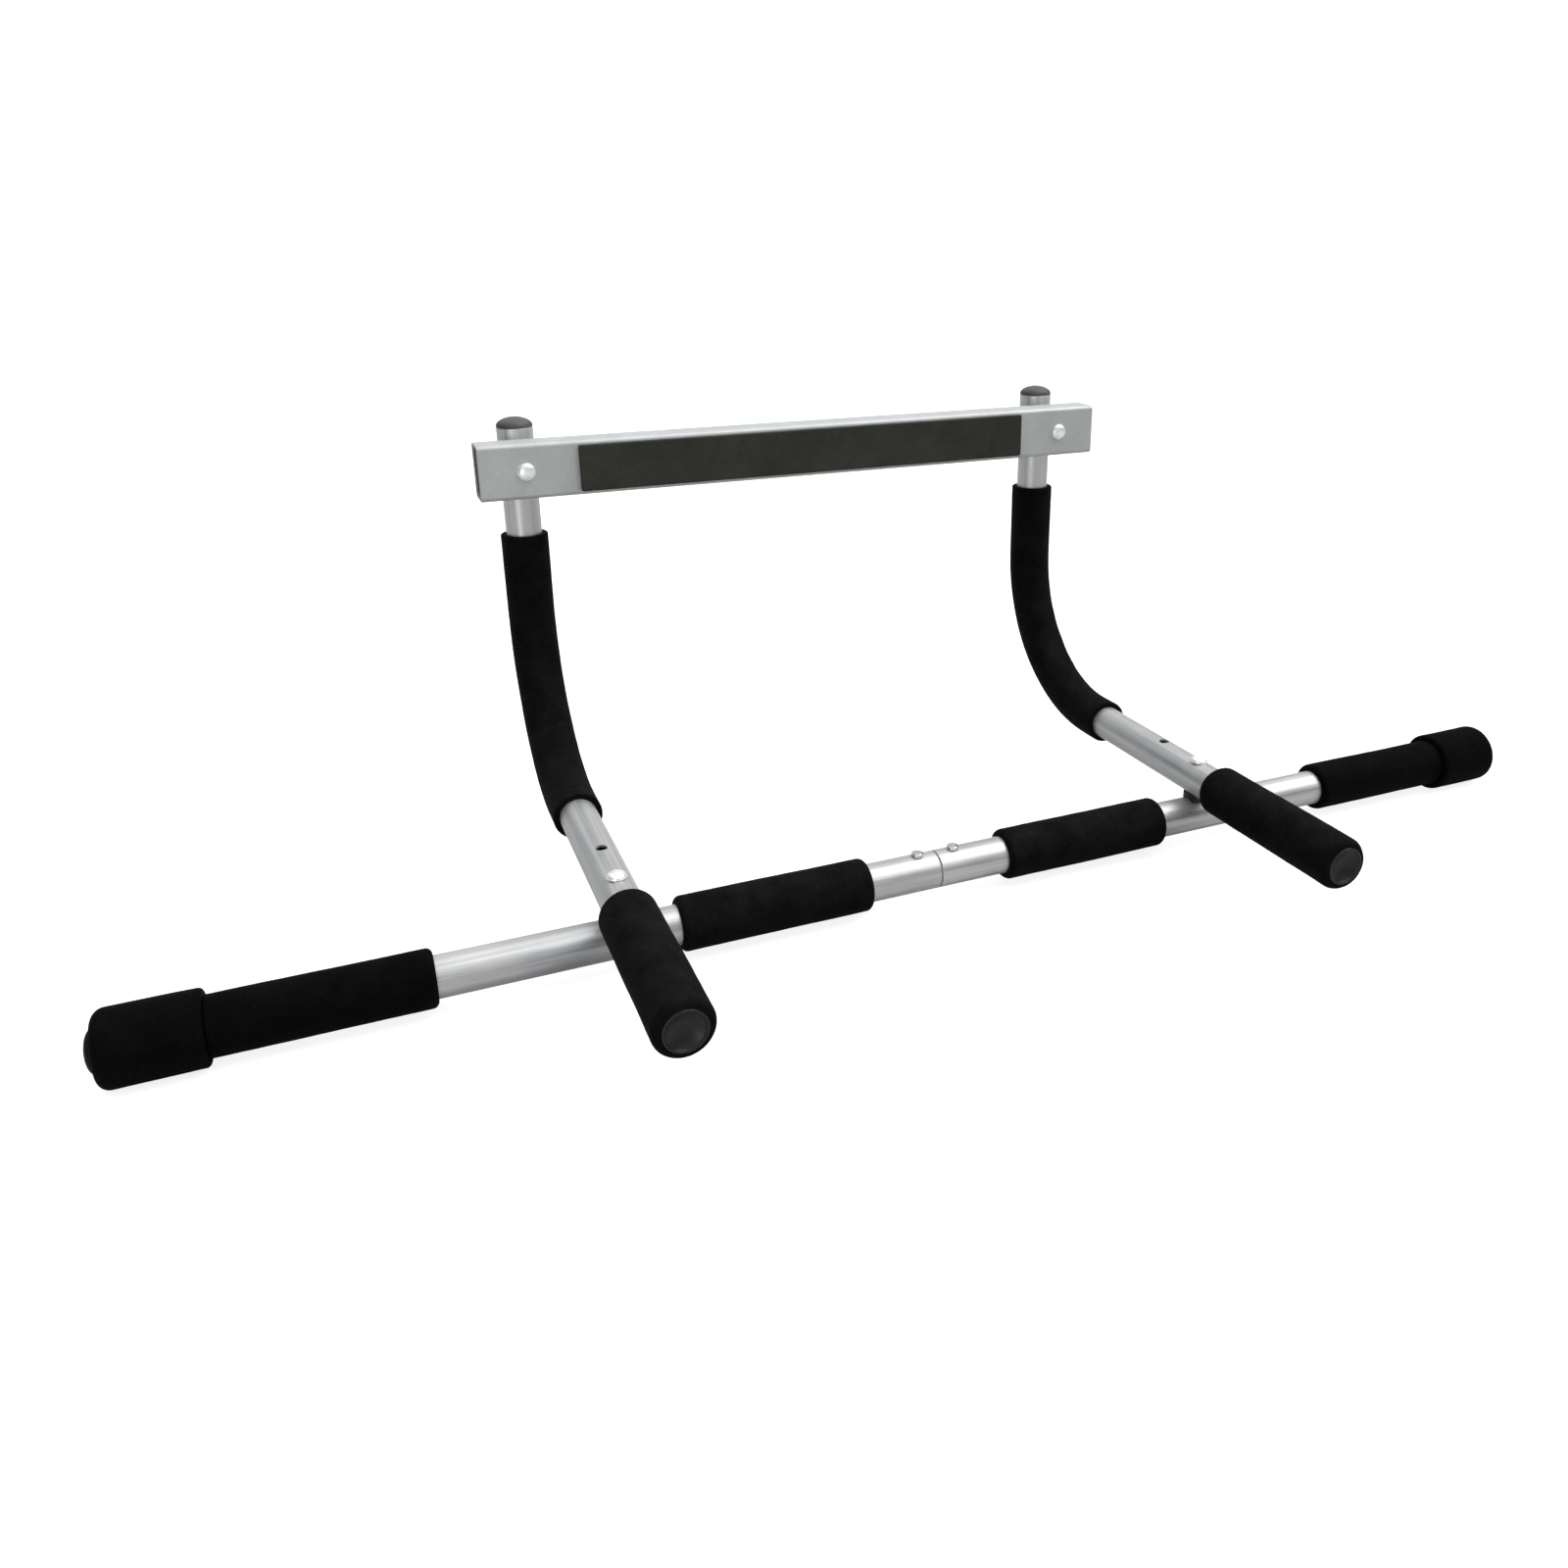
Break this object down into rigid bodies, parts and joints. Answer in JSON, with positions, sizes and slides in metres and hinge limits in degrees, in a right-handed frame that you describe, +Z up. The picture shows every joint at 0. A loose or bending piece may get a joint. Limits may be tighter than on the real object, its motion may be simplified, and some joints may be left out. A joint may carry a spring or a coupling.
{
  "type": "pull-up bar",
  "caption": "Over-the-door pull-up bar: a long straight bar crossed by bent side tubes with handles, joined at the top by a padded safety bar, with foam grips and bumpers.",
  "frame": {"origin": "middle of the safety bar's underside, which rests on top of the door's trim", "axes": "+X along the long bar, +Y from the user's side of the wall to its far side, +Z up"},
  "size_m": [0.9814, 0.4127, 0.3005],
  "materials": {
    "satin_tube": "satin",
    "safety_paint": "satin",
    "black_foam": "matte",
    "charcoal_pad": "matte",
    "black_plastic": "matte",
    "grey_cap": "satin",
    "zinc": "polished"
  },
  "bodies": {
    "root": {"centre_connector_sleeve": "zinc", "safety_bar_tube": "safety_paint", "safety_bar_pad": "charcoal_pad", "left_bar_tube": "satin_tube", "left_bar_end_plug": "black_plastic", "left_inner_foam_grip": "black_foam", "left_outer_foam_grip": "black_foam", "left_door_bumper_foam": "black_foam", "left_centre_screw": "zinc", "left_frame_tube": "satin_tube", "left_bend_foam_sleeve": "black_foam", "left_handle_foam_grip": "black_foam", "left_handle_end_plug": "black_plastic", "left_upright_cap": "grey_cap", "left_saddle_spacer": "black_plastic", "left_crossing_bolt": "zinc", "left_crossing_washer": "zinc", "left_crossing_nut": "zinc", "left_safety_bar_plug": "black_plastic", "left_safety_bolt": "zinc", "left_safety_washer": "zinc", "left_safety_nut": "zinc", "right_bar_tube": "satin_tube", "right_bar_end_plug": "black_plastic", "right_inner_foam_grip": "black_foam", "right_outer_foam_grip": "black_foam", "right_door_bumper_foam": "black_foam", "right_centre_screw": "zinc", "right_frame_tube": "satin_tube", "right_bend_foam_sleeve": "black_foam", "right_handle_foam_grip": "black_foam", "right_handle_end_plug": "black_plastic", "right_upright_cap": "grey_cap", "right_saddle_spacer": "black_plastic", "right_crossing_bolt": "zinc", "right_crossing_washer": "zinc", "right_crossing_nut": "zinc", "right_safety_bar_plug": "black_plastic", "right_safety_bolt": "zinc", "right_safety_washer": "zinc", "right_safety_nut": "zinc"}
  },
  "joints": []
}
